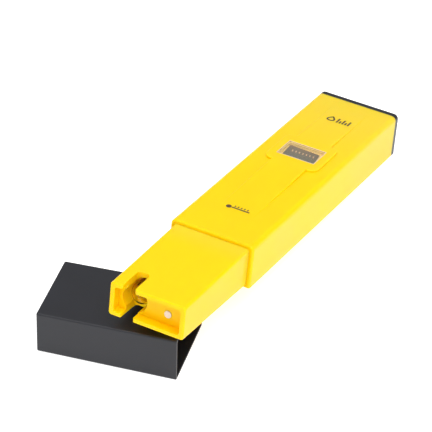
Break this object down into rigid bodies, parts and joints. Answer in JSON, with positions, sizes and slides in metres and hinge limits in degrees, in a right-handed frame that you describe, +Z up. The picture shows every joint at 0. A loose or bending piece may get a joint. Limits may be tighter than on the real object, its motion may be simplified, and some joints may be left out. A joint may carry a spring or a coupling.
{
  "type": "ph meter",
  "caption": "Pen-type pH meter with a display window, slotted electrode guard and glass bulb, end battery drawer and a loose protective cap under its nose.",
  "frame": {"origin": "on the table, under the middle of the box round the meter and its cap as they lie", "axes": "+X along the meter from its nose to its battery end, level with the table; +Y across it; +Z up from the table"},
  "size_m": [0.1562, 0.0572, 0.0325],
  "materials": {
    "yellow_abs": "moulded yellow ABS, lightly glossy",
    "black_abs": "moulded black ABS, satin",
    "button_abs": "moulded dark grey ABS, fine matt",
    "clear_acrylic": "clear acrylic lens",
    "electrode_glass": "thin clear electrode glass",
    "silicone": "dark silicone rubber",
    "silver": "silver wire, chlorided at the tip",
    "ceramic": "porous white ceramic",
    "white_plastic": "natural polypropylene",
    "steel": "nickel-plated spring steel",
    "epoxy": "cast epoxy",
    "lead_jacket": "thin PVC insulation",
    "display_glass": "liquid-crystal cell, unlit",
    "black_plastic": "black moulded nylon",
    "board": "green solder mask on glass-fibre board",
    "chip_epoxy": "black chip epoxy",
    "component_body": "ceramic and film components",
    "trimmer_blue": "blue trimmer housing",
    "brass": "turned brass screw",
    "cell_steel": "nickel-plated steel can"
  },
  "bodies": {
    "meter": {"housing": "yellow_abs", "display_window": "clear_acrylic", "electrode_guard": "yellow_abs", "glass_stem": "electrode_glass", "glass_bulb": "electrode_glass", "stem_seal": "silicone", "stem_stopper": "silicone", "inner_electrode": "silver", "reference_junction": "ceramic", "reference_chamber": "white_plastic", "reference_plug": "silicone", "reference_wire": "silver", "temperature_sensor": "steel", "potting_block": "epoxy", "electrode_lead": "lead_jacket", "reference_lead": "lead_jacket", "sensor_lead": "lead_jacket", "display_panel": "display_glass", "display_frame": "black_plastic", "connector_strip_near": "silicone", "connector_strip_far": "silicone", "main_board": "board", "controller_chip": "chip_epoxy", "amplifier_chip": "chip_epoxy", "board_components": "component_body", "trimmer_body": "trimmer_blue", "board_contacts": "steel"},
    "drawer": {"battery_drawer": "black_abs", "battery_plate": "steel", "battery_spring": "steel", "switch_board": "board", "power_switch": "black_plastic", "button_cell_1": "cell_steel", "button_cell_2": "cell_steel", "button_cell_3": "cell_steel", "button_cell_4": "cell_steel"},
    "button": {"power_button": "button_abs", "switch_plunger": "white_plastic"},
    "trimmer": {"trimmer_screw": "brass"},
    "cap": {"protective_cap": "black_abs"}
  },
  "joints": [
    {"name": "drawer_slide", "type": "slide", "parent": "meter", "child": "drawer", "axis": [0.9919, 0, -0.1267], "range_m": [0, 0.022]},
    {"name": "button_travel", "type": "slide", "parent": "drawer", "child": "button", "axis": [-0.9919, 0, 0.1267], "range_m": [0, 0.0008], "stiffness_N_per_m": 1200, "springref_m": -0.0005},
    {"name": "trimmer_turn", "type": "hinge", "parent": "meter", "child": "trimmer", "pos_m": [0.01098, -0.01359, 0.01278], "axis": [-0.1267, 0, -0.9919], "range_deg": [-130, 130]},
    {"name": "cap_slide", "type": "slide", "parent": "meter", "child": "cap", "axis": [-0.2181, 0.9759, 0], "range_m": [0, 0.07]}
  ]
}
